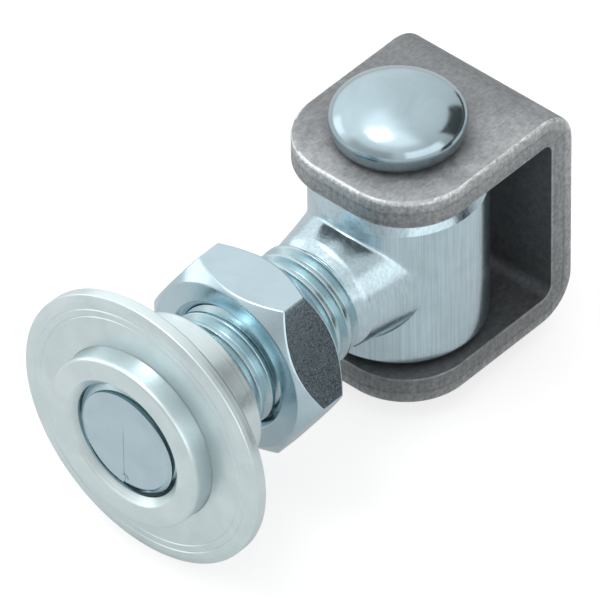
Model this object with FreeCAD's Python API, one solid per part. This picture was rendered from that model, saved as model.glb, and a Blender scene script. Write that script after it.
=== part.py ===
import FreeCAD, Part
import math
import os

from FreeCAD import Vector

# Adjustable gate hinge, in millimetres.
# The origin is the centre of the bracket's weld face. +X runs out along the eye bolt, +Z up the pin.
# A "reach" is a distance from the pin's axis along +X.

# Bracket, folded from one flat bar
bar_thickness = 5.0
bar_width = 31.0
ear_gap = 31.0
bend_inner_radius = 2.0
barrel_back_clearance = 4.0
ear_overhang = 0.4
ear_front_flat = 8.0

# Pin, domed at the top and peened over under the lower ear
pin_radius = 6.0
pin_ear_clearance = 0.05
head_radius = 10.8
head_seat_radius = 8.6
head_lip_height = 3.2
head_side_height = 1.4
head_dome_height = 3.6
peened_radius = 8.4
peened_edge_height = 0.8
peened_dome_height = 2.4

# Eye bolt, forged in one piece: barrel, flared neck and threaded shank
barrel_radius = 14.0
barrel_end_clearance = 1.0
barrel_edge_chamfer = 0.6
barrel_bore_clearance = 0.08
barrel_bore_chamfer = 0.8
neck_root_step = 1.9
neck_root_sink = 0.05
neck_length = 4.0
neck_tip_radius = 9.8
neck_flare_bulge = 0.15
groove_slope_length = 1.4
thread_radius = 10.0
thread_depth = 1.55
thread_start_chamfer = 1.2
bolt_end_chamfer = 1.3
bolt_end_recess = 0.6

# Lock nut, thin hexagon with both faces chamfered
nut_sides = 6
nut_across_flats = 30.0
nut_thickness = 10.0
nut_turn = 3.0
nut_face_inset = 0.5
nut_chamfer_angle = 45.0

# Free thread behind the lock nut, and between it and the weld nut
free_thread = 9.1
open_thread = 6.7

# Threaded holes of both nuts, at the thread's outer radius
thread_clearance = 0.05
countersink_depth = 1.15

# Weld nut, turned in one piece: rear collar, flange and front boss
collar_radius = 13.5
collar_length = 10.3
collar_edge_chamfer = 0.5
flange_radius = 23.65
flange_thickness = 2.7
flange_back_chamfer = 0.4
flange_bevel_height = 0.5
flange_bevel_width = 1.2
boss_radius = 14.9
boss_length = 3.8
boss_edge_chamfer = 0.5

# Places and sizes of the bracket that follow
pin_setback = bar_thickness + barrel_back_clearance + barrel_radius
ear_tip = pin_setback + barrel_radius + ear_overhang
ear_corner_radius = (bar_width - ear_front_flat) / 2
bar_half_width = bar_width / 2
ear_inner_height = ear_gap / 2
ear_outer_height = ear_inner_height + bar_thickness
bend_outer_radius = bend_inner_radius + bar_thickness

# Places and sizes along the bolt that follow
barrel_half_height = ear_inner_height - barrel_end_clearance
neck_root_radius = min(barrel_radius, barrel_half_height) - neck_root_step
neck_root_reach = math.sqrt(barrel_radius ** 2 - neck_root_radius ** 2) - neck_root_sink
neck_tip_reach = barrel_radius + neck_length
thread_root_radius = thread_radius - thread_depth
thread_start_reach = neck_tip_reach + groove_slope_length
nut_reach = thread_start_reach + thread_start_chamfer + free_thread
nut_face_radius = nut_across_flats / 2 - nut_face_inset
collar_reach = nut_reach + nut_thickness + open_thread
flange_back = collar_reach + collar_length
flange_face = flange_back + flange_thickness
boss_face = flange_face + boss_length
bolt_reach = boss_face - bolt_end_recess

# Directions, and the share of a radius that its 45 degree point lies out
pin_axis_foot = Vector(pin_setback, 0, 0)
along_bolt = Vector(1, 0, 0)
up = Vector(0, 0, 1)
diagonal = math.sqrt(0.5)


def save(shape, node):
    """Write one piece to its own file."""
    shape.exportStep("parts/" + node + ".step")


def closed_face(edges):
    """A flat face bounded by the edges, given in order."""
    return Part.Face(Part.Wire(edges))


def polygon_edges(points):
    """Straight edges from each point to the next."""
    return [Part.makeLine(start, end) for start, end in zip(points, points[1:])]


def arc(start, middle, end):
    """A circular edge through three points."""
    return Part.Arc(start, middle, end).toShape()


def turned(edges, axis):
    """A solid turned about an axis through the pin's middle, from its half section."""
    return closed_face(edges).revolve(pin_axis_foot, axis, 360)


def section_point(reach, radius):
    """A point of a half section about the bolt's axis."""
    return Vector(pin_setback + reach, 0, radius)


def pin_point(radius, height):
    """A point of a half section about the pin's axis."""
    return Vector(pin_setback + radius, 0, height)


def domed_disc(radius, foot_height, side_height, dome_height, side):
    """A disc about the pin's axis, ended by a shallow dome; side is 1 for up and -1 for down."""
    sphere_radius = (radius ** 2 + dome_height ** 2) / (2 * dome_height)
    crown_height = foot_height + side * (side_height + dome_height)
    centre = pin_axis_foot + up * (crown_height - side * sphere_radius)
    ball = Part.makeSphere(sphere_radius, centre, along_bolt)
    foot = pin_axis_foot + up * foot_height
    return Part.makeCylinder(radius, side_height + dome_height, foot, up * side).common(ball)


def folded_block(back, half_height, bend_radius):
    """A block as wide as the bar that reaches to the ear tips, its two back edges rounded."""
    front = ear_tip
    bend_start = back + bend_radius
    bend_end = half_height - bend_radius
    middle_x = bend_start - bend_radius * diagonal
    middle_z = bend_end + bend_radius * diagonal
    edges = polygon_edges([Vector(front, 0, half_height), Vector(bend_start, 0, half_height)])
    edges.append(arc(
        Vector(bend_start, 0, half_height), Vector(middle_x, 0, middle_z), Vector(back, 0, bend_end)
    ))
    edges += polygon_edges([Vector(back, 0, bend_end), Vector(back, 0, -bend_end)])
    edges.append(arc(
        Vector(back, 0, -bend_end), Vector(middle_x, 0, -middle_z), Vector(bend_start, 0, -half_height)
    ))
    edges += polygon_edges([
        Vector(bend_start, 0, -half_height),
        Vector(front, 0, -half_height),
        Vector(front, 0, half_height),
    ])
    profile = closed_face(edges)
    profile.translate(Vector(0, -bar_half_width, 0))
    return profile.extrude(Vector(0, bar_width, 0))


def ear_outline():
    """The ears' outline from above, with both tip corners rounded, as a tall block."""
    corner_start = ear_tip - ear_corner_radius
    corner_side = ear_front_flat / 2
    turn = ear_corner_radius * diagonal
    floor = -ear_outer_height
    corner = [
        (corner_start, bar_half_width),
        (corner_start + turn, corner_side + turn),
        (ear_tip, corner_side),
    ]
    left = [Vector(x, -y, floor) for x, y in corner]
    right = [Vector(x, y, floor) for x, y in reversed(corner)]
    edges = polygon_edges([Vector(0, -bar_half_width, floor), left[0]])
    edges.append(arc(*left))
    edges += polygon_edges([left[-1], right[0]])
    edges.append(arc(*right))
    edges += polygon_edges([
        right[-1],
        Vector(0, bar_half_width, floor),
        Vector(0, -bar_half_width, floor),
    ])
    return closed_face(edges).extrude(up * 2 * ear_outer_height)


def make_bracket():
    """The bar folded into a U, its ear tips rounded and both ears drilled for the pin."""
    outside = folded_block(0, ear_outer_height, bend_outer_radius)
    inside = folded_block(bar_thickness, ear_inner_height, bend_inner_radius)
    hole_foot = pin_axis_foot - up * ear_outer_height
    pin_hole = Part.makeCylinder(pin_radius + pin_ear_clearance, 2 * ear_outer_height, hole_foot, up)
    return outside.cut(inside).common(ear_outline()).cut(pin_hole)


def make_pin():
    """The domed head, the plain shank and the peened lower end, all one rivet."""
    seat = ear_outer_height
    lip = seat + head_lip_height
    lip_width = head_radius - head_seat_radius
    shank = turned(polygon_edges([
        pin_point(0, lip),
        pin_point(0, -seat),
        pin_point(pin_radius, -seat),
        pin_point(pin_radius, seat),
        pin_point(head_seat_radius, seat),
        pin_point(head_seat_radius + lip_width * diagonal, seat + head_lip_height * (1 - diagonal)),
        pin_point(head_radius, lip),
        pin_point(0, lip),
    ]), up)
    head = domed_disc(head_radius, lip, head_side_height, head_dome_height, 1)
    peened_end = domed_disc(peened_radius, -seat, peened_edge_height, peened_dome_height, -1)
    return shank.fuse([head, peened_end]).removeSplitter()


def barrel_bore():
    """The hole through the barrel, opened out at both ends."""
    radius = pin_radius + barrel_bore_clearance
    mouth = radius + barrel_bore_chamfer
    height = barrel_half_height
    return turned(polygon_edges([
        pin_point(0, height),
        pin_point(mouth, height),
        pin_point(radius, height - barrel_bore_chamfer),
        pin_point(radius, barrel_bore_chamfer - height),
        pin_point(mouth, -height),
        pin_point(0, -height),
        pin_point(0, height),
    ]), up)


def make_barrel():
    """The eye's round body, its end edges broken by a small chamfer."""
    height = barrel_half_height
    inset = barrel_radius - barrel_edge_chamfer
    return turned(polygon_edges([
        pin_point(0, height),
        pin_point(inset, height),
        pin_point(barrel_radius, height - barrel_edge_chamfer),
        pin_point(barrel_radius, barrel_edge_chamfer - height),
        pin_point(inset, -height),
        pin_point(0, -height),
        pin_point(0, height),
    ]), up)


def make_shank():
    """The neck that flares into the barrel, and the threaded length at its outer radius."""
    neck_root = section_point(neck_root_reach, neck_root_radius)
    neck_middle = section_point(
        (neck_root_reach + neck_tip_reach) / 2,
        (neck_root_radius + neck_tip_radius) / 2 - neck_flare_bulge,
    )
    neck_tip = section_point(neck_tip_reach, neck_tip_radius)
    edges = [arc(neck_root, neck_middle, neck_tip)]
    edges += polygon_edges([
        neck_tip,
        section_point(thread_start_reach, thread_root_radius),
        section_point(thread_start_reach + thread_start_chamfer, thread_radius),
        section_point(bolt_reach - bolt_end_chamfer, thread_radius),
        section_point(bolt_reach, thread_radius - bolt_end_chamfer),
        section_point(bolt_reach, 0),
        section_point(neck_root_reach, 0),
        neck_root,
    ])
    return turned(edges, along_bolt)


def make_eye_bolt():
    """Barrel, neck and shank forged together, with the pin's bore through them."""
    return make_barrel().fuse(make_shank()).cut(barrel_bore())


def threaded_hole(near_reach, far_reach):
    """The space of a threaded hole with both mouths countersunk."""
    radius = thread_radius + thread_clearance
    mouth = radius + countersink_depth
    return turned(polygon_edges([
        section_point(near_reach, 0),
        section_point(near_reach, mouth),
        section_point(near_reach + countersink_depth, radius),
        section_point(far_reach - countersink_depth, radius),
        section_point(far_reach, mouth),
        section_point(far_reach, 0),
        section_point(near_reach, 0),
    ]), along_bolt)


def make_lock_nut():
    """A hexagon of bar cut to length, both faces turned down to a cone."""
    half_side_angle = math.pi / nut_sides
    corner_radius = nut_across_flats / 2 / math.cos(half_side_angle)
    corners = []
    for corner in range(nut_sides + 1):
        angle = math.radians(nut_turn) + half_side_angle * (2 * corner + 1)
        corners.append(section_point(nut_reach, 0) + Vector(
            0, corner_radius * math.sin(angle), corner_radius * math.cos(angle)
        ))
    hexagon = closed_face(polygon_edges(corners)).extrude(along_bolt * nut_thickness)
    cone_depth = (corner_radius - nut_face_radius) * math.tan(math.radians(nut_chamfer_angle))
    far_reach = nut_reach + nut_thickness
    envelope = turned(polygon_edges([
        section_point(nut_reach, 0),
        section_point(nut_reach, nut_face_radius),
        section_point(nut_reach + cone_depth, corner_radius),
        section_point(far_reach - cone_depth, corner_radius),
        section_point(far_reach, nut_face_radius),
        section_point(far_reach, 0),
        section_point(nut_reach, 0),
    ]), along_bolt)
    return hexagon.common(envelope).cut(threaded_hole(nut_reach, far_reach))


def make_weld_nut():
    """The turned nut that is welded into the gate: collar, flange and boss on one thread."""
    return turned(polygon_edges([
        section_point(boss_face, 0),
        section_point(collar_reach, 0),
        section_point(collar_reach, collar_radius - collar_edge_chamfer),
        section_point(collar_reach + collar_edge_chamfer, collar_radius),
        section_point(flange_back, collar_radius),
        section_point(flange_back, flange_radius - flange_back_chamfer),
        section_point(flange_back + flange_back_chamfer, flange_radius),
        section_point(flange_face - flange_bevel_height, flange_radius),
        section_point(flange_face, flange_radius - flange_bevel_width),
        section_point(flange_face, boss_radius),
        section_point(boss_face - boss_edge_chamfer, boss_radius),
        section_point(boss_face, boss_radius - boss_edge_chamfer),
        section_point(boss_face, 0),
    ]), along_bolt).cut(threaded_hole(collar_reach, boss_face))


def main():
    os.makedirs("parts", exist_ok=True)
    save(make_bracket(), "u_bracket")
    save(make_pin(), "hinge_pin")
    save(make_eye_bolt(), "eye_bolt")
    save(make_lock_nut(), "lock_nut")
    save(make_weld_nut(), "weld_nut")


main()
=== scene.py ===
import math

import bmesh
import bpy
import numpy as np
from mathutils import Matrix, Vector


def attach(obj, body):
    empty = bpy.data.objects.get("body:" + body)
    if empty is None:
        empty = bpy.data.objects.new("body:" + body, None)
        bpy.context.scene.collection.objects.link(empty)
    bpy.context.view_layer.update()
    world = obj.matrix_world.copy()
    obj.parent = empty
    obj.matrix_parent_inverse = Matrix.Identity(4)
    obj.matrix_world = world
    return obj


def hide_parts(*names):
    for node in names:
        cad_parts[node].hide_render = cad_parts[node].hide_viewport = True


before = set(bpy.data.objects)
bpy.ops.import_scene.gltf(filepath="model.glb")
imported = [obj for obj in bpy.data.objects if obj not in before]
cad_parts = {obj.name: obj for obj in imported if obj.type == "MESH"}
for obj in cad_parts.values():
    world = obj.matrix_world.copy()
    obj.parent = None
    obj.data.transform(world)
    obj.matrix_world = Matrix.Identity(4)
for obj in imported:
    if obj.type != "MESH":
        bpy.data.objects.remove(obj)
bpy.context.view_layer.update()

# Sizes below are in millimetres, and meshes are made in metres
MM = 0.001
TURN = 2 * math.pi

# Pin and bracket
pin_x = 23.0
bar_thickness = 5.0
bar_half_width = 15.5
ear_inner = 15.5
ear_outer = ear_inner + bar_thickness
bend_inner = 2.0
bend_outer = bend_inner + bar_thickness
ear_tip = 37.4
ear_corner = 11.5
hole_radius = 6.05
outer_edge_round = 0.75
inner_edge_round = 0.25
head_radius = 10.8
head_seat_radius = 8.6
head_lip = 3.2
head_rise = 5.0
pin_radius = 6.0
peened_radius = 8.4
peened_edge = 0.8
peened_dome = 2.4
cut_margin = 3.0
face_tolerance = 0.3

# Eye bolt
barrel_radius = 14.0
barrel_half_height = 14.5
barrel_edge = 0.6
bevel_width = 1.4
bevel_height = 3.0
bevel_foot_ease = (0.06, 0.16)
bevel_top_ease = (0.10, 0.18, 0.06)
barrel_middle = (pin_x, 0.0, 0.0)
bore_radius = 6.08
bore_chamfer = 0.8
neck_root = (6.99, 12.1)
neck_middle = (12.5, 10.8)
neck_tip = (18.0, 9.8)
neck_wrap = math.radians(96)
groove_reach = 19.4
crease_round = 0.55
neck_tip_round = 0.5
thread_radius = 10.0
thread_root = 8.75
thread_full_reach = 20.6
thread_pitch = 2.5
bolt_reach = 62.6

# Nuts
hole_clear_radius = 10.05
countersink = 1.15
nut_reach = 29.7
nut_thickness = 10.0
nut_across_flats = 30.0
nut_turn = math.radians(3.0)
nut_face_radius = 14.5
collar_reach = 46.4
collar_radius = 13.5
flange_back = 56.7
flange_face = 59.4
flange_radius = 23.65
boss_face = 63.2
boss_radius = 14.9
edge_break = 0.20

# Bolt's end face
end_margin = 0.02
fold_y = -0.4
fold_step = 0.14
fold_step_blend = 0.12
fold_groove = 0.20
fold_groove_width = 0.13
fold_top = 1.5
fold_fade = 3.0
nick_z = -7.6
nick_depth = 0.45
nick_spread = 0.4
end_round_start = 7.9
end_round_width = 0.55
end_round_depth = 0.05


def finish_piece(obj, body, node, material, smooth_angle=32):
    """Gives a made piece its shading, material, body and the CAD node that it stands for."""
    obj.data.materials.clear()
    obj.data.materials.append(material)
    obj.data.shade_smooth()
    if smooth_angle:
        obj.data.set_sharp_from_angle(angle=math.radians(smooth_angle))
    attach(obj, body)
    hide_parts(node)


def even_shading(obj):
    """Lets the large faces set the shading, so that the small roundings don't bend the light on them."""
    even = obj.modifiers.new("even_shading", "WEIGHTED_NORMAL")
    even.mode = "FACE_AREA"
    even.weight = 90
    even.keep_sharp = True


def mesh_object(name, points, faces):
    """A new object from points in millimetres, doubles merged and faces turned outward."""
    mesh = bpy.data.meshes.new(name)
    mesh.from_pydata([tuple(p) for p in np.asarray(points) * MM], [], faces)
    work = bmesh.new()
    work.from_mesh(mesh)
    bmesh.ops.remove_doubles(work, verts=work.verts, dist=2e-7)
    bmesh.ops.dissolve_degenerate(work, edges=work.edges, dist=1e-8)
    bmesh.ops.recalc_face_normals(work, faces=work.faces)
    work.to_mesh(mesh)
    work.free()
    obj = bpy.data.objects.new(name, mesh)
    bpy.context.scene.collection.objects.link(obj)
    return obj


def rounded(points, steps=5):
    """A profile whose marked corners are rounded: each point is (along, radius, rounding)."""
    out = []
    for i, (a, r, size) in enumerate(points):
        here = np.array([a, r], float)
        if not size or i in (0, len(points) - 1):
            out.append(here)
            continue
        before = np.array(points[i - 1][:2], float) - here
        after = np.array(points[i + 1][:2], float) - here
        before /= np.linalg.norm(before)
        after /= np.linalg.norm(after)
        half = math.acos(max(-1, min(1, float(before @ after)))) / 2
        back = size / math.tan(half)
        centre = here + (before + after) / np.linalg.norm(before + after) * size / math.sin(half)
        start, end = here + before * back - centre, here + after * back - centre
        sweep = math.atan2(start[0] * end[1] - start[1] * end[0], float(start @ end))
        for k in range(steps + 1):
            t = sweep * k / steps
            turn = np.array([[math.cos(t), -math.sin(t)], [math.sin(t), math.cos(t)]])
            out.append(centre + turn @ start)
    return out


def turned(name, profile, axis, segments=256):
    """A closed ring of profile points turned about the bolt's axis ("x") or the pin's ("z")."""
    count = len(profile)
    points, faces = [], []
    for i in range(segments):
        c, s = math.cos(TURN * i / segments), math.sin(TURN * i / segments)
        for along, radius in profile:
            if axis == "x":
                points.append((pin_x + along, radius * s, radius * c))
            else:
                points.append((pin_x + radius * c, radius * s, along))
    for i in range(segments):
        j = (i + 1) % segments
        for k in range(count):
            n = (k + 1) % count
            faces.append((i * count + k, j * count + k, j * count + n, i * count + n))
    return mesh_object(name, points, faces)


def dome_points(edge_radius, edge_height, rise, steps=26):
    """Points of a shallow dome that hangs down, from its edge to the axis."""
    sphere = (edge_radius ** 2 + rise ** 2) / (2 * rise)
    full = math.asin(edge_radius / sphere)
    out = []
    for k in range(steps):
        t = full * (1 - k / (steps - 1))
        out.append((edge_height - rise + sphere * (1 - math.cos(t)), sphere * math.sin(t)))
    return out


# Materials: relief is given in millimetres and noise in features per metre

noise_low = 0.3
noise_high = 0.7
cloud_scale = 150
wave_scale = 210
hair_scale = 300
hair_stretch = (0.6, 7.0, 2.2)
hair_depth = 0.003
ring_scale = 2600
drawn_scale = 900
drawn_depth = 0.014
tear_wander = 0.34


def new_material(name):
    """A new material with its node tree and its main shader."""
    material = bpy.data.materials.new(name)
    material.use_nodes = True
    tree = material.node_tree
    return material, tree, tree.nodes["Principled BSDF"]


def math_node(tree, operation, *values):
    """The result of an operation on values that are numbers or other nodes' outputs."""
    node = tree.nodes.new("ShaderNodeMath")
    node.operation = operation
    for socket, value in zip(node.inputs, values):
        if isinstance(value, bpy.types.NodeSocket):
            tree.links.new(value, socket)
        else:
            socket.default_value = value
    return node.outputs[0]


def map_node(tree, value, low, high, to_low=0.0, to_high=1.0, smooth=False):
    """Maps value from low..high onto to_low..to_high and holds it there."""
    node = tree.nodes.new("ShaderNodeMapRange")
    node.interpolation_type = "SMOOTHSTEP" if smooth else "LINEAR"
    limits = {"From Min": low, "From Max": high, "To Min": to_low, "To Max": to_high}
    for socket, limit in limits.items():
        node.inputs[socket].default_value = limit
    tree.links.new(value, node.inputs["Value"])
    return node.outputs["Result"]


def place_nodes(tree):
    """Where a point lies in the piece's own coordinates, whole and split by axis."""
    place = tree.nodes.new("ShaderNodeTexCoord").outputs["Object"]
    split = tree.nodes.new("ShaderNodeSeparateXYZ")
    tree.links.new(place, split.inputs["Vector"])
    return place, split.outputs


def noise_node(tree, scale, stretch=(1, 1, 1), detail=4.0, roughness=0.55, distortion=0.0, place=None):
    """Noise in the piece's own coordinates or at a given place, stretched by axis."""
    mapping = tree.nodes.new("ShaderNodeMapping")
    mapping.inputs["Scale"].default_value = stretch
    noise = tree.nodes.new("ShaderNodeTexNoise")
    noise.inputs["Scale"].default_value = scale
    noise.inputs["Detail"].default_value = detail
    noise.inputs["Roughness"].default_value = roughness
    noise.inputs["Distortion"].default_value = distortion
    tree.links.new(place or place_nodes(tree)[0], mapping.inputs["Vector"])
    tree.links.new(mapping.outputs["Vector"], noise.inputs["Vector"])
    return noise.outputs["Fac"]


def ramp_node(tree, value, low, high, stops):
    """Maps value from low..high onto colours or greys given as (place, colour)."""
    ramp = tree.nodes.new("ShaderNodeValToRGB")
    tree.links.new(map_node(tree, value, low, high), ramp.inputs["Fac"])
    elements = ramp.color_ramp.elements
    while len(elements) < len(stops):
        elements.new(0.5)
    for element, (place, colour) in zip(elements, stops):
        element.position = place
        element.color = (*colour, 1.0) if isinstance(colour, tuple) else (colour, colour, colour, 1.0)
    return ramp.outputs["Color"]


def multiplied(tree, *colours):
    """The product of colours."""
    product = colours[0]
    for colour in colours[1:]:
        mix = tree.nodes.new("ShaderNodeMix")
        mix.data_type = "RGBA"
        mix.blend_type = "MULTIPLY"
        mix.inputs[0].default_value = 1.0
        tree.links.new(product, mix.inputs[6])
        tree.links.new(colour, mix.inputs[7])
        product = mix.outputs[2]
    return product


def relief_node(tree, layers):
    """The normal over layers of relief, each a height and its depth."""
    normal = None
    for height, depth in layers:
        bump = tree.nodes.new("ShaderNodeBump")
        bump.inputs["Distance"].default_value = depth * MM
        bump.inputs["Strength"].default_value = 1.0
        tree.links.new(height, bump.inputs["Height"])
        if normal is not None:
            tree.links.new(normal, bump.inputs["Normal"])
        normal = bump.outputs["Normal"]
    return normal


def rings_node(tree):
    """Fine circles about the bolt's axis, as a lathe leaves: noise along the radius and the length."""
    _, split = place_nodes(tree)
    across = tree.nodes.new("ShaderNodeCombineXYZ")
    tree.links.new(split["Y"], across.inputs["X"])
    tree.links.new(split["Z"], across.inputs["Y"])
    radius = tree.nodes.new("ShaderNodeVectorMath")
    radius.operation = "LENGTH"
    tree.links.new(across.outputs["Vector"], radius.inputs[0])
    both = tree.nodes.new("ShaderNodeCombineXYZ")
    tree.links.new(radius.outputs["Value"], both.inputs["X"])
    tree.links.new(split["X"], both.inputs["Y"])
    return noise_node(tree, ring_scale, detail=3.0, roughness=0.5, place=both.outputs["Vector"])


def zinc(
    name, tint, rough_low, rough_high, wobble, fine=0.004, grain_scale=1600, rings=0.0, streaks=None, shade=None
):
    """Bright blue-white zinc plating: cloudy tint, fine grain, faint hairline marks and soft waves, with painted
    shade along one axis where a shade ramp is given.
    """
    material, tree, shader = new_material(name)
    clouds = noise_node(tree, cloud_scale, detail=5.0, distortion=0.6)
    grain = noise_node(tree, grain_scale, detail=3.0)
    hairs = noise_node(tree, hair_scale, stretch=hair_stretch, detail=6.0, roughness=0.7)
    cool = tuple(v * 0.94 for v in tint)
    warm = tuple(min(1, v * 1.05) for v in (tint[0] * 1.02, *tint[1:]))
    colours = [ramp_node(tree, clouds, noise_low, noise_high, [(0.0, cool), (0.5, tint), (1.0, warm)])]
    relief = [(noise_node(tree, wave_scale, detail=2.0), wobble), (grain, fine), (hairs, hair_depth)]
    # A shade ramp darkens the colour along one axis of the piece: painted shade.
    if shade:
        axis, low, high, stops = shade
        colours.append(ramp_node(tree, place_nodes(tree)[1][axis], low * MM, high * MM, stops))
    if rings:
        relief.append((rings_node(tree), rings))
    if streaks:
        drawn = noise_node(tree, drawn_scale, stretch=streaks, detail=3.0)
        colours.append(ramp_node(tree, drawn, 0.36, 0.64, [(0.0, 0.90), (0.5, 0.985), (1.0, 1.04)]))
        relief.append((drawn, drawn_depth))
    rough = ramp_node(tree, grain, noise_low, noise_high, [(0.0, rough_low), (1.0, rough_high)])
    tree.links.new(multiplied(tree, *colours), shader.inputs["Base Color"])
    tree.links.new(rough, shader.inputs["Roughness"])
    tree.links.new(relief_node(tree, relief), shader.inputs["Normal"])
    shader.inputs["Metallic"].default_value = 1.0
    return material


def hot_rolled(name, dark, light):
    """Bare hot-rolled bar: grey mill scale that is lighter towards +x and +y, rolled grain and specks."""
    material, tree, shader = new_material(name)
    patches = noise_node(tree, 90, detail=5.0, roughness=0.6, distortion=0.7)
    grain = noise_node(tree, 2300, stretch=(0.35, 1.0, 1.0), detail=3.0, roughness=0.7)
    specks = noise_node(tree, 1100, detail=5.0, roughness=0.75)
    slant = tree.nodes.new("ShaderNodeVectorMath")
    slant.operation = "DOT_PRODUCT"
    tree.links.new(place_nodes(tree)[0], slant.inputs[0])
    slant.inputs[1].default_value = tone_slant
    tone = math_node(tree, "ADD", slant.outputs["Value"], patches)
    middle = tone_slant[0] * pin_x * MM + 0.5
    base = ramp_node(tree, tone, middle - tone_blend, middle + tone_blend, [(0.0, dark), (1.0, light)])
    flecks = ramp_node(tree, specks, 0.36, 0.66, [(0.0, 0.80), (0.5, 1.0), (1.0, 1.16)])
    fine = ramp_node(tree, grain, noise_low, noise_high, [(0.0, 0.86), (1.0, 1.12)])
    rough = ramp_node(tree, specks, noise_low, noise_high, [(0.0, 0.52), (1.0, 0.70)])
    tree.links.new(multiplied(tree, base, flecks, fine), shader.inputs["Base Color"])
    tree.links.new(rough, shader.inputs["Roughness"])
    tree.links.new(
        relief_node(tree, [(patches, 0.03), (specks, 0.012), (grain, 0.006)]), shader.inputs["Normal"]
    )
    shader.inputs["Metallic"].default_value = 0.85
    return material


def bar_depth(tree, split):
    """How deep a point lies in the bar, from 0 at its inner face to 1 at its outer one."""
    back = math_node(tree, "MAXIMUM", math_node(tree, "SUBTRACT", bend_outer * MM, split["X"]), 0.0)
    height = math_node(tree, "ABSOLUTE", split["Z"])
    rise = math_node(tree, "SUBTRACT", height, (ear_inner - bend_inner) * MM)
    rise = math_node(tree, "MAXIMUM", rise, 0.0)
    squares = [math_node(tree, "MULTIPLY", value, value) for value in (back, rise)]
    from_centre = math_node(tree, "SQRT", math_node(tree, "ADD", *squares))
    inward = math_node(tree, "SUBTRACT", from_centre, bend_inner * MM)
    return math_node(tree, "DIVIDE", inward, bar_thickness * MM)


def sheared_edge(name):
    """The bar's cut edges: a smooth band near the outer face, a torn dark line and rougher metal below."""
    material, tree, shader = new_material(name)
    _, split = place_nodes(tree)
    ragged = noise_node(tree, 300, detail=5.0, roughness=0.7)
    specks = noise_node(tree, 1500, detail=4.0, roughness=0.75)
    scores = noise_node(tree, 1500, stretch=(1.0, 1.0, 0.12), detail=3.0, roughness=0.7)
    edge = math_node(tree, "MULTIPLY_ADD", ragged, tear_wander, bar_depth(tree, split))
    bands = ramp_node(tree, edge, tear_wander / 2, 1 + tear_wander / 2, [
        (0.0, (0.20, 0.205, 0.21)), (0.10, (0.145, 0.152, 0.156)), (0.48, (0.165, 0.173, 0.178)),
        (0.56, (0.138, 0.144, 0.148)), (0.63, (0.19, 0.198, 0.202)), (0.86, (0.225, 0.235, 0.24)),
        (0.95, (0.32, 0.33, 0.335)), (1.0, (0.30, 0.31, 0.315)),
    ])
    upward = map_node(tree, split["Z"], -ear_outer * MM, ear_outer * MM, 1.72, 2.50)
    slant = math_node(tree, "MULTIPLY_ADD", split["Y"], 0.6, split["X"])
    front = ramp_node(tree, slant, 36.0 * MM, 41.5 * MM, [(0.0, 1.05), (1.0, 0.84)])
    flecks = ramp_node(tree, specks, 0.34, 0.66, [(0.0, 0.68), (0.5, 1.0), (1.0, 1.28)])
    scored = ramp_node(tree, scores, 0.34, 0.66, [(0.0, 0.88), (1.0, 1.10)])
    rough = ramp_node(tree, specks, noise_low, noise_high, [(0.0, 0.45), (1.0, 0.66)])
    tree.links.new(multiplied(tree, bands, flecks, scored, upward, front), shader.inputs["Base Color"])
    tree.links.new(rough, shader.inputs["Roughness"])
    tree.links.new(relief_node(tree, [(scores, 0.012), (specks, 0.02)]), shader.inputs["Normal"])
    shader.inputs["Metallic"].default_value = 0.8
    return material


# The bar's colour grows lighter along this slant, towards +x and +y.
tone_slant = (17.0, 13.0, 0.0)
tone_blend = 0.16
# Painted shade: the pin head's lip and lower rim darken down towards where the head sits on the bracket.
head_rim_painted_shade = ("Z", ear_outer, ear_outer + head_lip + 0.6, [(0.0, 0.2), (0.55, 0.38), (0.92, 0.62), (1.0, 1.0)])
# Painted shade: the weld nut's boss darkens along its side, darkest in the crease at the flange.
boss_crease_painted_shade = (
    "X", pin_x + flange_face, pin_x + boss_face - 0.3,
    [(0.0, 1.0), (0.01, 0.42), (0.10, 0.60), (0.75, 0.76), (1.0, 1.0)],
)
zinc_head = zinc("zinc_head", (0.47, 0.60, 0.66), 0.12, 0.19, wobble=0.012, shade=head_rim_painted_shade)
zinc_forged = zinc("zinc_forged", (0.60, 0.755, 0.82), 0.16, 0.26, wobble=0.012, streaks=(3.0, 3.0, 0.08))
zinc_thread = zinc("zinc_thread", (0.56, 0.715, 0.76), 0.18, 0.28, wobble=0.01, fine=0.008)
zinc_nut = zinc("zinc_nut", (0.58, 0.73, 0.80), 0.14, 0.24, wobble=0.012, fine=0.014, grain_scale=3400)
zinc_turned = zinc("zinc_turned", (0.79, 0.91, 0.93), 0.28, 0.38, wobble=0.01, rings=0.03, shade=boss_crease_painted_shade)
steel_bar = hot_rolled("steel_bar", (0.29, 0.303, 0.312), (0.50, 0.52, 0.53))
# A darker copy of the bar's colour for the faces on the U's inner side: painted shade.
steel_inside_painted_shade = hot_rolled("steel_inside_painted_shade", (0.15, 0.158, 0.165), (0.18, 0.19, 0.195))
steel_sheared = sheared_edge("steel_sheared")


# Pin

head = [
    (ear_outer + head_lip + head_rise * math.sin(t), head_radius * math.cos(t))
    for t in np.linspace(0, math.pi / 2, 44)
]
foot = dome_points(peened_radius, -ear_outer - peened_edge, peened_dome)
lip = [
    (ear_outer + head_lip * (1 - math.cos(t)), head_seat_radius + (head_radius - head_seat_radius) * math.sin(t))
    for t in np.linspace(0, math.pi / 2, 12)
]
pin_profile = (
    [(head[-1][0], 0.0)] + head[::-1][1:] + lip[::-1]
    + [(ear_outer, pin_radius), (-ear_outer, pin_radius), (-ear_outer, peened_radius)]
    + foot[:-1] + [(foot[-1][0], 0.0)]
)
pin = turned("pin_rivet", pin_profile, "z", 224)
finish_piece(pin, "bracket", "hinge_pin", zinc_head, 40)


# Bracket

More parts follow.
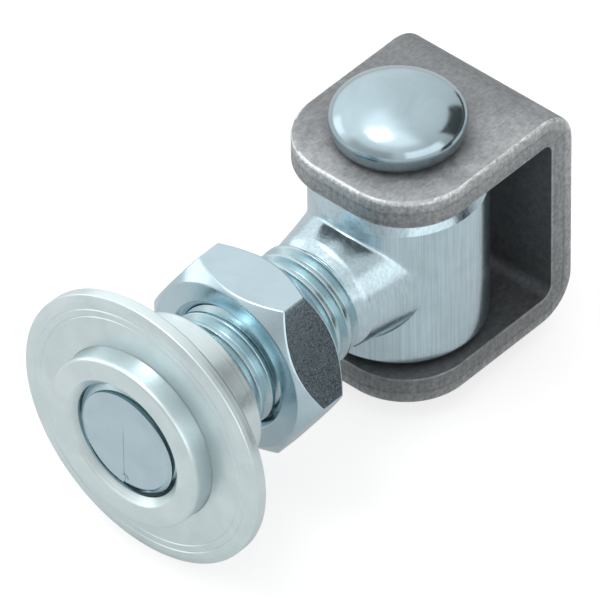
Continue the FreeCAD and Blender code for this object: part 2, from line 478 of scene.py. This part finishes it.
def bracket_mesh():
    """The folded bar: its side profile drawn out, trimmed to the ears' outline, drilled and its edges rounded."""
    def quarter(middle, radius, first, steps):
        turns = [first + math.pi / 2 * k / steps for k in range(steps + 1)]
        return [(middle[0] + radius * math.cos(t), middle[1] + radius * math.sin(t)) for t in turns]

    def drawn_out(name, outline, low, high, place):
        """A prism from an outline, each point put in place for both of its ends."""
        count = len(outline)
        points = [place(a, b, level) for level in (low, high) for a, b in outline]
        faces = [tuple(range(count)), tuple(range(2 * count - 1, count - 1, -1))]
        faces += [(k, (k + 1) % count, count + (k + 1) % count, count + k) for k in range(count)]
        return mesh_object(name, points, faces)

    bend = ear_inner - bend_inner
    past_tip = ear_tip + cut_margin
    outer = [(past_tip, ear_outer)] + quarter((bend_outer, bend), bend_outer, math.pi / 2, 16)
    outer += quarter((bend_outer, -bend), bend_outer, math.pi, 16) + [(past_tip, -ear_outer)]
    inner = quarter((bend_outer, bend), bend_inner, math.pi / 2, 16)
    inner += quarter((bend_outer, -bend), bend_inner, math.pi, 16)
    loop = outer + [(past_tip, -ear_inner)] + inner[::-1] + [(past_tip, ear_inner)]
    body = drawn_out("bracket_bar", loop, -bar_half_width, bar_half_width, lambda x, z, y: (x, y, z))

    start = ear_tip - ear_corner
    side = bar_half_width - ear_corner
    outside = -bar_half_width - cut_margin
    outline = [(-cut_margin, outside), (start, outside)]
    outline += quarter((start, -side), ear_corner, -math.pi / 2, 28)
    outline += [(x, -y) for x, y in reversed(outline)]
    top = ear_outer + cut_margin
    keep = drawn_out("ear_outline", outline, -top, top, lambda x, y, z: (x, y, z))
    drill = turned("pin_drill", [(top, 0.0), (top, hole_radius), (-top, hole_radius), (-top, 0.0)], "z", 96)
    for other, operation in ((keep, "INTERSECT"), (drill, "DIFFERENCE")):
        cut = body.modifiers.new("cut", "BOOLEAN")
        cut.operation = operation
        cut.object = other
        cut.solver = "EXACT"
    bpy.context.view_layer.update()
    made = bpy.data.meshes.new_from_object(body.evaluated_get(bpy.context.evaluated_depsgraph_get()))
    for other in (keep, drill, body):
        bpy.data.objects.remove(other)
    work = bmesh.new()
    work.from_mesh(made)
    bmesh.ops.remove_doubles(work, verts=work.verts, dist=1e-6)
    bmesh.ops.dissolve_limit(work, angle_limit=math.radians(2), verts=work.verts, edges=work.edges)

    def is_corner(edge):
        """Whether an edge is a sharp one, apart from the rims of the pin's holes."""
        if len(edge.link_faces) != 2 or edge.calc_face_angle(0) < math.radians(50):
            return False
        spot = edge.verts[0].co / MM
        return math.hypot(spot.x - pin_x, spot.y) > hole_radius + 1

    def is_outer(edge):
        """Whether an edge lies on the bar's outer face."""
        spot = (edge.verts[0].co + edge.verts[1].co) / 2 / MM
        if abs(spot.z) > ear_outer - face_tolerance:
            return True
        from_bend = math.hypot(spot.x - bend_outer, max(0, abs(spot.z) - bend))
        return spot.x < bend_outer and from_bend > bend_outer - face_tolerance

    for outer_face, size in ((True, outer_edge_round), (False, inner_edge_round)):
        edges = [edge for edge in work.edges if is_corner(edge) and is_outer(edge) == outer_face]
        bmesh.ops.bevel(
            work, geom=edges, offset=size * MM, offset_type="OFFSET", segments=4, profile=0.5,
            affect="EDGES", clamp_overlap=True,
        )
    bmesh.ops.recalc_face_normals(work, faces=work.faces)
    work.to_mesh(made)
    work.free()
    made.name = "bracket_bar"
    return made


bracket = bpy.data.objects.new("bracket_bar", bracket_mesh())
bpy.context.scene.collection.objects.link(bracket)
finish_piece(bracket, "bracket", "u_bracket", steel_bar, 30)
bracket.data.materials.append(steel_sheared)
bracket.data.materials.append(steel_inside_painted_shade)
even_shading(bracket)
# Cut edges take the sheared steel; the faces on the U's inner side take the darker copy, which is painted shade.
for face in bracket.data.polygons:
    middle = face.center / MM
    inside = middle.x > bar_thickness - 0.1 and abs(middle.z) < ear_inner + 0.1
    if abs(face.normal.y) > 0.5 or (face.normal.x > 0.5 and abs(middle.z) > ear_inner):
        face.material_index = 1
    elif inside:
        face.material_index = 2


# Eye: barrel and flared neck, with a small fillet in the crease between them

class PatchMesh:
    """A closed mesh put together from grids of points that carry their true normals."""

    def __init__(self):
        self.points, self.place, self.faces, self.normals = [], {}, [], []

    def point(self, p):
        key = tuple(int(round(v * 1e4)) for v in p)
        if key not in self.place:
            self.place[key] = len(self.points)
            self.points.append(tuple(p))
        return self.place[key]

    def face(self, corners, normals):
        ids, ns, ps = [], [], []
        for p, n in zip(corners, normals):
            i = self.point(p)
            if i not in ids:
                ids.append(i)
                ns.append(n)
                ps.append(p)
        if len(ids) < 3:
            return
        flat = np.zeros(3)
        for a, b in zip(ps, ps[1:] + ps[:1]):
            flat += np.cross(a, b)
        if float(flat @ np.sum(ns, axis=0)) < 0:
            ids.reverse()
            ns.reverse()
        self.faces.append(ids)
        self.normals.extend(ns)

    def grid(self, points, normals):
        """Rows of points, each row joined to the next."""
        for i in range(len(points) - 1):
            for j in range(len(points[i]) - 1):
                spots = ((i, j), (i, j + 1), (i + 1, j + 1), (i + 1, j))
                self.face([points[a][b] for a, b in spots], [normals[a][b] for a, b in spots])

    def build(self, name, middle):
        mesh = bpy.data.meshes.new(name)
        spots = (np.array(self.points) + np.array(middle)) * MM
        mesh.from_pydata([tuple(p) for p in spots], [], self.faces)
        mesh.shade_smooth()
        obj = bpy.data.objects.new(name, mesh)
        bpy.context.scene.collection.objects.link(obj)
        return obj


def unit(v):
    return v / max(1e-9, float(np.linalg.norm(v)))


def neck_radius(x):
    """The neck's radius at a reach, a shallow hollow curve through three points."""
    (x0, r0), (x1, r1), (x2, r2) = neck_root, neck_middle, neck_tip
    return (
        r0 * (x - x1) * (x - x2) / ((x0 - x1) * (x0 - x2))
        + r1 * (x - x0) * (x - x2) / ((x1 - x0) * (x1 - x2))
        + r2 * (x - x0) * (x - x1) / ((x2 - x0) * (x2 - x1))
    )


def neck_spot(x, theta):
    r = neck_radius(x)
    return np.array([x, r * math.sin(theta), r * math.cos(theta)])


def neck_normal(x, theta):
    slope = (neck_radius(x + 1e-3) - neck_radius(x - 1e-3)) / 2e-3
    return unit(np.array([-slope, math.sin(theta), math.cos(theta)]))


def crease_reach(theta):
    """The reach at which the neck's surface meets the barrel's."""
    low, high = neck_root[0] - 1.0, barrel_radius
    for _ in range(40):
        middle = (low + high) / 2
        if math.hypot(middle, neck_radius(middle) * math.sin(theta)) < barrel_radius:
            low = middle
        else:
            high = middle
    return low


def on_barrel(p):
    """The point moved straight out onto the barrel, and the barrel's normal there."""
    normal = unit(np.array([p[0], p[1], 0.0]))
    return np.array([normal[0] * barrel_radius, normal[1] * barrel_radius, p[2]]), normal


def crease_ends(theta):
    """The fillet's two ends and the crease between them, each with its normal."""
    reach = crease_reach(theta)
    crease = neck_spot(reach, theta)
    ahead = neck_spot(crease_reach(theta + 1e-3), theta + 1e-3)
    along = unit(ahead - crease)
    _, wall = on_barrel(crease)
    away = np.cross(wall, along)
    if away @ np.array([0.0, math.sin(theta), math.cos(theta)]) < 0:
        away = -away
    barrel_end, barrel_normal = on_barrel(crease + away * crease_round)
    start = reach + crease_round
    return barrel_end, barrel_normal, crease, start


def make_eye():
    """The barrel's wall fanned out round the crease, its fillet, the neck, the ends and the bore."""
    across, upright, fan, behind = ((130, 76, 26, 120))
    fillet_steps, neck_steps, tip_steps, edge_steps = 6, 24, 5, 6
    turn = neck_wrap
    top = barrel_half_height - bevel_height
    low = barrel_edge - barrel_half_height
    half_width = barrel_radius * turn
    rim = [(half_width * (2 * k / across - 1), top) for k in range(across)]
    rim += [(half_width, top + (low - top) * k / upright) for k in range(upright)]
    rim += [(half_width * (1 - 2 * k / across), low) for k in range(across)]
    rim += [(-half_width, low + (top - low) * k / upright) for k in range(upright)]
    dense = np.linspace(-math.pi, math.pi, 721)
    angles = []
    for theta in dense:
        spot = crease_ends(theta)[0]
        angles.append(math.atan2(barrel_radius * math.atan2(spot[1], spot[0]), spot[2]))
    angles = np.unwrap(np.array(angles))
    eye = PatchMesh()

    columns = []
    for s, z in rim + rim[:1]:
        theta = float(np.interp(math.atan2(s, z), angles, dense))
        inner, inner_normal, crease, start = crease_ends(theta)
        s0, z0 = barrel_radius * math.atan2(inner[1], inner[0]), inner[2]
        spots, normals = [], []
        for k in range(fan + 1):
            t = 1 - (k / fan) ** 0.8
            around, height = (s0 + (s - s0) * t) / barrel_radius, z0 + (z - z0) * t
            normal = np.array([math.cos(around), math.sin(around), 0.0])
            spots.append(np.array([normal[0] * barrel_radius, normal[1] * barrel_radius, height]))
            normals.append(normal)
        end, end_normal = neck_spot(start, theta), neck_normal(start, theta)
        for k in range(1, fillet_steps + 1):
            t = k / fillet_steps
            spots.append(inner * (1 - t) ** 2 + crease * 2 * t * (1 - t) + end * t ** 2)
            normals.append(unit(inner_normal * (1 - t) + end_normal * t))
        stop = neck_tip[0] - neck_tip_round
        for k in range(1, neck_steps + 1):
            x = start + (stop - start) * k / neck_steps
            spots.append(neck_spot(x, theta))
            normals.append(neck_normal(x, theta))
        round_to = (neck_tip[0] + neck_tip_round * 0.7, neck_tip[1] - neck_tip_round * 0.68)
        slope = unit(np.array([neck_tip[1] - thread_root, groove_reach - neck_tip[0]]))
        slope_normal = np.array([slope[0], slope[1] * math.sin(theta), slope[1] * math.cos(theta)])
        tip = np.array([neck_tip[0], neck_tip[1] * math.sin(theta), neck_tip[1] * math.cos(theta)])
        after = np.array([round_to[0], round_to[1] * math.sin(theta), round_to[1] * math.cos(theta)])
        before, before_normal = spots[-1], normals[-1]
        for k in range(1, tip_steps + 1):
            t = k / tip_steps
            spots.append(before * (1 - t) ** 2 + tip * 2 * t * (1 - t) + after * t ** 2)
            normals.append(unit(before_normal * (1 - t) + slope_normal * t))
        for reach, radius in ((groove_reach, thread_root), (groove_reach, 0.0)):
            spots.append(np.array([reach, radius * math.sin(theta), radius * math.cos(theta)]))
            normals.append(slope_normal)
        columns.append((spots, normals))
    eye.grid([c[0] for c in columns], [c[1] for c in columns])

    # The rest of the barrel's wall, behind the neck
    arounds = [turn + (TURN - 2 * turn) * k / behind for k in range(behind + 1)]
    heights = [top + (low - top) * k / upright for k in range(upright + 1)]
    wall, wall_normals = [], []
    for around in arounds:
        normal = np.array([math.cos(around), math.sin(around), 0.0])
        wall.append([normal * barrel_radius + np.array([0, 0, z]) for z in heights])
        wall_normals.append([normal] * len(heights))
    eye.grid(wall, wall_normals)

    # Both ends and the bore, turned about the pin
    front = [turn * (2 * k / across - 1) for k in range(across + 1)]
    ring = front + arounds[1:]
    for side in (1, -1):
        if side > 0:
            slope = unit(np.array([bevel_height, bevel_width]))
            inset = barrel_radius - bevel_width
            foot_in, foot_up = bevel_foot_ease
            top_out, top_down, top_in = bevel_top_ease
            profile = [
                (barrel_radius, top, 1, 0), (barrel_radius - foot_in, top + foot_up, *slope),
                (inset + top_out, barrel_half_height - top_down, *slope),
                (inset - top_in, barrel_half_height, 0, 1),
            ]
        else:
            profile = []
            for k in range(edge_steps + 1):
                t = math.pi / 2 * k / edge_steps
                profile.append((
                    barrel_radius - barrel_edge * (1 - math.cos(t)), -low + barrel_edge * math.sin(t),
                    math.cos(t), math.sin(t),
                ))
        mouth = bore_radius + bore_chamfer
        foot = barrel_half_height - bore_chamfer
        half = math.sqrt(0.5)
        profile += [(mouth, barrel_half_height, 0, 1), (mouth, barrel_half_height, -half, half)]
        profile += [(bore_radius, foot, -half, half), (bore_radius, foot, -1, 0), (bore_radius, 0, -1, 0)]
        spots, normals = [], []
        for around in ring:
            c, s = math.cos(around), math.sin(around)
            spots.append([np.array([r * c, r * s, z * side]) for r, z, _, _ in profile])
            normals.append([np.array([out * c, out * s, up * side]) for _, _, out, up in profile])
        eye.grid(spots, normals)
    return eye


eye_patches = make_eye()
eye = eye_patches.build("eye_forging", barrel_middle)
finish_piece(eye, "bolt", "eye_bolt", zinc_forged, 0)
eye.data.normals_split_custom_set([tuple(n) for n in eye_patches.normals])


# Thread, cut as one helix along the shank

def thread_profile():
    """Radius over one pitch, from the middle of a crest: flat crests and roots, their corners rounded."""
    crest, root = thread_pitch * 0.26, thread_pitch * 0.20
    flank = (thread_pitch - crest - root) / 2
    return rounded([
        (0.0, thread_radius, 0), (crest / 2, thread_radius, 0.10),
        (crest / 2 + flank, thread_root, 0.08), (crest / 2 + flank + root, thread_root, 0.08),
        (thread_pitch - crest / 2, thread_radius, 0.10), (thread_pitch, thread_radius, 0),
    ], 3)[:-1]


def make_thread():
    """The threaded shank, run out at the groove and chamfered at its end."""
    profile = thread_profile()
    m, per_turn = len(profile), 144
    turns = int((bolt_reach - groove_reach) / thread_pitch) + 3
    total = turns * per_turn
    run_in_slope = (thread_radius - thread_root) / (thread_full_reach - groove_reach)
    points, faces = [], []
    for i in range(total + per_turn + 1):
        angle = TURN * i / per_turn
        base = groove_reach - 1.5 * thread_pitch + thread_pitch * i / per_turn
        for along, radius in profile:
            x = base + along
            run_in = thread_root + (x - groove_reach) * run_in_slope
            run_out = thread_root + (bolt_reach - x)
            r = max(thread_root, min(radius, run_in, run_out))
            x = min(max(x, groove_reach), bolt_reach)
            points.append((pin_x + x, -r * math.sin(angle), r * math.cos(angle)))
    for i in range(total):
        for j in range(m):
            after = j + 1 < m
            a, b = i * m + j, (i + 1) * m + j
            d = a + 1 if after else (i + per_turn) * m
            c = b + 1 if after else (i + 1 + per_turn) * m
            faces.append((a, b, c, d))
    return mesh_object("bolt_thread", points, faces)


finish_piece(make_thread(), "bolt", "eye_bolt", zinc_thread, 38)


def make_end_face():
    """The sheared end of the bolt, in strips: one half lies a little lower, along a fine groove to a nick."""
    reach = thread_root + end_margin
    along = 96
    strips = np.concatenate([
        np.linspace(-0.999 * reach, fold_y - 0.5, 34), np.linspace(fold_y - 0.4, fold_y + 0.4, 25),
        np.linspace(fold_y + 0.5, 0.999 * reach, 36),
    ])
    points, faces = [], []
    for y in strips:
        half = math.sqrt(reach ** 2 - y ** 2)
        for k in range(along + 1):
            z = half * (2 * k / along - 1)
            fade = 1 - min(1, max(0, (z - fold_top) / fold_fade))
            lower = fold_step * fade / (1 + math.exp(-(y - fold_y) / fold_step_blend))
            groove = fold_groove * fade * max(0, 1 - abs(y - fold_y) / fold_groove_width)
            nick = nick_depth * math.exp(-((y - fold_y) ** 2 + (z - nick_z) ** 2) / nick_spread)
            edge = end_round_depth * max(0, (math.hypot(y, z) - end_round_start) / end_round_width) ** 2
            points.append((pin_x + bolt_reach - end_margin - lower - groove - nick - edge, y, z))
    for i in range(len(strips) - 1):
        for k in range(along):
            a, b = i * (along + 1) + k, (i + 1) * (along + 1) + k
            faces.append((a, b, b + 1, a + 1))
    return mesh_object("bolt_end", points, faces)


finish_piece(make_end_face(), "bolt", "eye_bolt", zinc_nut, 0)


# Lock nut

def make_lock_nut():
    """A hexagon with conical faces, its edges slightly broken."""
    per_side = 20
    sixth = TURN / 6
    segments = 6 * per_side
    far = nut_reach + nut_thickness
    columns = []
    for i in range(segments):
        angle = TURN * i / segments
        flat = (angle + sixth / 2) % sixth - sixth / 2
        reach = nut_across_flats / 2 / math.cos(flat)
        rise = reach - nut_face_radius
        theta = angle + nut_turn
        ring = [
            (nut_reach + countersink, hole_clear_radius), (nut_reach, hole_clear_radius + countersink),
            (nut_reach, nut_face_radius), (nut_reach + rise, reach),
            (far - rise, reach), (far, nut_face_radius),
            (far, hole_clear_radius + countersink), (far - countersink, hole_clear_radius),
        ]
        columns.append([(pin_x + x, r * math.sin(theta), r * math.cos(theta)) for x, r in ring])
    m = len(columns[0])
    points = [p for column in columns for p in column]
    faces = []
    for i in range(segments):
        j = (i + 1) % segments
        for k in range(m):
            n = (k + 1) % m
            faces.append((i * m + k, j * m + k, j * m + n, i * m + n))
    nut = mesh_object("nut_hexagon", points, faces)
    work = bmesh.new()
    work.from_mesh(nut.data)
    edges = [e for e in work.edges if e.calc_face_angle(0) > math.radians(24)]
    bmesh.ops.bevel(
        work, geom=edges, offset=edge_break * MM, segments=3, profile=0.5, affect="EDGES", clamp_overlap=True
    )
    work.to_mesh(nut.data)
    work.free()
    return nut


nut = make_lock_nut()
finish_piece(nut, "locking", "lock_nut", zinc_nut, 28)
even_shading(nut)


# Weld nut

def ring_groove(face, radius, width=0.13, depth=0.11):
    """A fine turned groove in a flat face, as profile points from the outside in."""
    return [(face, radius + width, 0), (face - depth, radius, 0), (face, radius - width, 0)]


boss_profile = rounded([
    (collar_reach + countersink, hole_clear_radius, 0),
    (collar_reach, hole_clear_radius + countersink, 0.1),
    (collar_reach, collar_radius - 0.25, 0.35),
    (collar_reach + 0.5, collar_radius, 0.3),
    (flange_back, collar_radius, 0.25),
    (flange_back, flange_radius - 0.4, 0.3),
    (flange_back + 0.4, flange_radius, 0.3),
    (flange_face - 0.5, flange_radius, 0.25),
    (flange_face, flange_radius - 1.2, 0.5),
    *ring_groove(flange_face, 21.35), *ring_groove(flange_face, 20.1),
    (flange_face, boss_radius, 0.22),
    (boss_face, boss_radius, 0.7),
    (boss_face, hole_clear_radius + countersink, 0.12),
    (boss_face - countersink, hole_clear_radius, 0),
])
finish_piece(turned("nut_flanged", boss_profile, "x", 320), "gate_side", "weld_nut", zinc_turned, 30)


# Floor, world, panels and lamp: reaches and heights in millimetres, directions in degrees

floor_height = -23.9
floor_half_size = 3000.0
floor_grey = 0.34
floor_glow_seen = 0.74
floor_glow_mirrored = 0.30
hinge_middle = (40.0, 0.0, 0.0)
panel_lift = 0.5
panel_near = 150.0
panel_far = 250.0
panel_top = 30.0
panel_foot = -6.0
panel_lying = (110.0, 130.0)
panel_standing = (130.0, 193.0)
panel_steps = 12


def direction(az, el):
    """The unit vector that points to an azimuth and an elevation, given in degrees."""
    a, e = math.radians(az), math.radians(el)
    return Vector((math.cos(a) * math.cos(e), math.sin(a) * math.cos(e), math.sin(e)))


def make_floor():
    """A white floor that shows the camera and polished metal a white ground, and keeps the shadow."""
    corners = [(-1, -1), (1, -1), (1, 1), (-1, 1)]
    points = [(x * floor_half_size, y * floor_half_size, floor_height) for x, y in corners]
    floor = mesh_object("floor", points, [(0, 1, 2, 3)])
    material, tree, shader = new_material("floor_white")
    shader.inputs["Base Color"].default_value = (floor_grey, floor_grey, floor_grey, 1)
    shader.inputs["Roughness"].default_value = 0.9
    shader.inputs["Specular IOR Level"].default_value = 0.1
    path = tree.nodes.new("ShaderNodeLightPath").outputs
    mirrored = math_node(tree, "MAXIMUM", path["Is Glossy Ray"], path["Is Transmission Ray"])
    seen = math_node(tree, "MULTIPLY", path["Is Camera Ray"], floor_glow_seen)
    glow = math_node(tree, "MULTIPLY_ADD", mirrored, floor_glow_mirrored, seen)
    shader.inputs["Emission Color"].default_value = (1, 1, 1, 1)
    tree.links.new(glow, shader.inputs["Emission Strength"])
    floor.data.materials.append(material)


def make_world():
    """A pale tent as the metal sees it: brightest above and at two strips, dark in a card beside the pin's head."""
    world = bpy.data.worlds.new("studio")
    bpy.context.scene.world = world
    world.use_nodes = True
    tree = world.node_tree
    tree.nodes.clear()
    out = tree.nodes.new("ShaderNodeOutputWorld")
    back = tree.nodes.new("ShaderNodeBackground")
    tree.links.new(back.outputs[0], out.inputs["Surface"])
    place = tree.nodes.new("ShaderNodeTexCoord").outputs["Generated"]
    split = tree.nodes.new("ShaderNodeSeparateXYZ")
    tree.links.new(place, split.inputs["Vector"])

    def calc(operation, *values):
        return math_node(tree, operation, *values)

    turn = calc("ARCTAN2", split.outputs["Y"], split.outputs["X"])
    azimuth = calc("MULTIPLY", turn, 180 / math.pi)
    height = calc("MULTIPLY", calc("ARCSINE", split.outputs["Z"]), 180 / math.pi)

    def step(value, edge, soft):
        """0 below the edge and 1 above it, over a soft width."""
        return map_node(tree, value, edge - soft / 2, edge + soft / 2, smooth=True)

    def card(low_az, high_az, low_el, high_el, soft):
        """A rectangular patch of the tent, 1 inside and 0 outside."""
        across = calc("SUBTRACT", step(azimuth, low_az, soft), step(azimuth, high_az, soft))
        up_down = calc("SUBTRACT", step(height, low_el, soft), step(height, high_el, soft))
        return calc("MULTIPLY", across, up_down)

    def cosine_to(az, el):
        """The cosine of the angle between a direction and the place at az, el."""
        dot = tree.nodes.new("ShaderNodeVectorMath")
        dot.operation = "DOT_PRODUCT"
        tree.links.new(place, dot.inputs[0])
        dot.inputs[1].default_value = direction(az, el)
        return dot.outputs["Value"]

    def darkened(level, patch, share):
        """The level with a share of it taken away in a patch."""
        return calc("SUBTRACT", level, calc("MULTIPLY", calc("MULTIPLY", patch, share), level))

    shaded = step(cosine_to(165, 30), 0.58, 0.25)
    ceiling = calc("MULTIPLY", step(height, 58, 20), calc("SUBTRACT", 1.0, shaded))
    slanted = calc("MULTIPLY_ADD", azimuth, 0.29, height)
    head_card = calc("SUBTRACT", card(133, 200, 2, 90, 4), step(slanted, 85, 5))
    head_card = calc("MAXIMUM", head_card, 0.0)
    level = calc("MULTIPLY_ADD", cosine_to(-80, 40), 0.33, 0.80)
    level = calc("MULTIPLY_ADD", ceiling, 0.42, level)
    level = calc("SUBTRACT", level, calc("MULTIPLY", shaded, 0.12))
    level = darkened(level, head_card, 0.88)
    level = darkened(level, card(-42, 32, -20, 36, 22), 0.42)
    level = calc("MULTIPLY_ADD", card(-84, -56, -8, 24, 8), 0.50, level)
    level = calc("MULTIPLY_ADD", card(52, 113, -8, 34, 6), 0.62, level)
    path = tree.nodes.new("ShaderNodeLightPath")
    camera_white = tree.nodes.new("ShaderNodeMix")
    tree.links.new(path.outputs["Is Camera Ray"], camera_white.inputs[0])
    tree.links.new(level, camera_white.inputs[2])
    camera_white.inputs[3].default_value = 1.0
    back.inputs["Color"].default_value = (1.0, 1.0, 1.0, 1)
    tree.links.new(camera_white.outputs[0], back.inputs["Strength"])


def make_panels():
    """Black panels that only polished metal mirrors: a folded one for the nut's right side, one beside it."""
    floor_line = floor_height + panel_lift
    folded = ((panel_near, floor_line), (panel_far, floor_line), (panel_far, panel_top))
    upright = ((panel_far, panel_foot), (panel_far, panel_top))
    points, faces = [], []
    for (low_az, high_az), profile in ((panel_lying, folded), (panel_standing, upright)):
        first, count = len(points), len(profile)
        for k in range(panel_steps + 1):
            az = math.radians(low_az + (high_az - low_az) * k / panel_steps)
            points += [
                (hinge_middle[0] + reach * math.cos(az), reach * math.sin(az), height)
                for reach, height in profile
            ]
        for k in range(panel_steps):
            for row in range(count - 1):
                a = first + count * k + row
                faces.append((a, a + count, a + count + 1, a + 1))
    panels = mesh_object("panel_black", points, faces)
    material, _, shader = new_material("panel_black")
    shader.inputs["Base Color"].default_value = (0.03, 0.03, 0.035, 1)
    shader.inputs["Roughness"].default_value = 0.8
    panels.data.materials.append(material)
    panels.visible_camera = False
    panels.visible_diffuse = False
    panels.visible_shadow = False


def make_lamp(name, az, el, distance, size, power):
    """A square soft lamp, its distance and size in metres, that looks at the middle of the object."""
    middle = Vector(hinge_middle) * MM
    spot = middle + direction(az, el) * distance
    data = bpy.data.lights.new(name, "AREA")
    data.shape = "SQUARE"
    data.size = size
    data.energy = power
    lamp = bpy.data.objects.new(name, data)
    lamp.location = spot
    lamp.rotation_euler = (middle - spot).to_track_quat("-Z", "Y").to_euler()
    bpy.context.scene.collection.objects.link(lamp)


make_floor()
make_world()
make_panels()
make_lamp("lamp_top", az=-35, el=72, distance=0.9, size=0.30, power=1.5)


# Camera, fitted to the photo

camera_az = 42.107
camera_el = 41.972
camera_roll = math.radians(-0.718)
camera_distance = 1893.7
camera_left = 15.161
camera_down = 10.157
focal_pixels = 12342.5
photo_pixels = 600.0
sensor_width = 36.0


def make_camera():
    """The camera at the photo's place; its shift from the pin is in millimetres, across and down the picture."""
    toward = direction(camera_az, camera_el)
    level = direction(camera_az + 90, 0)
    upright = toward.cross(level)
    across = math.cos(camera_roll) * level + math.sin(camera_roll) * upright
    up = -math.sin(camera_roll) * level + math.cos(camera_roll) * upright
    spot = Vector((pin_x, 0, 0)) + toward * camera_distance - across * camera_left - up * camera_down
    data = bpy.data.cameras.new("photo_camera")
    data.sensor_width = sensor_width
    data.lens = focal_pixels / photo_pixels * sensor_width
    data.clip_start = 0.05
    data.clip_end = 20.0
    camera = bpy.data.objects.new("photo_camera", data)
    camera.matrix_world = Matrix.Translation(spot * MM) @ Matrix((across, up, toward)).transposed().to_4x4()
    bpy.context.scene.collection.objects.link(camera)
    bpy.context.scene.camera = camera


make_camera()
bpy.context.scene.view_settings.view_transform = "Standard"
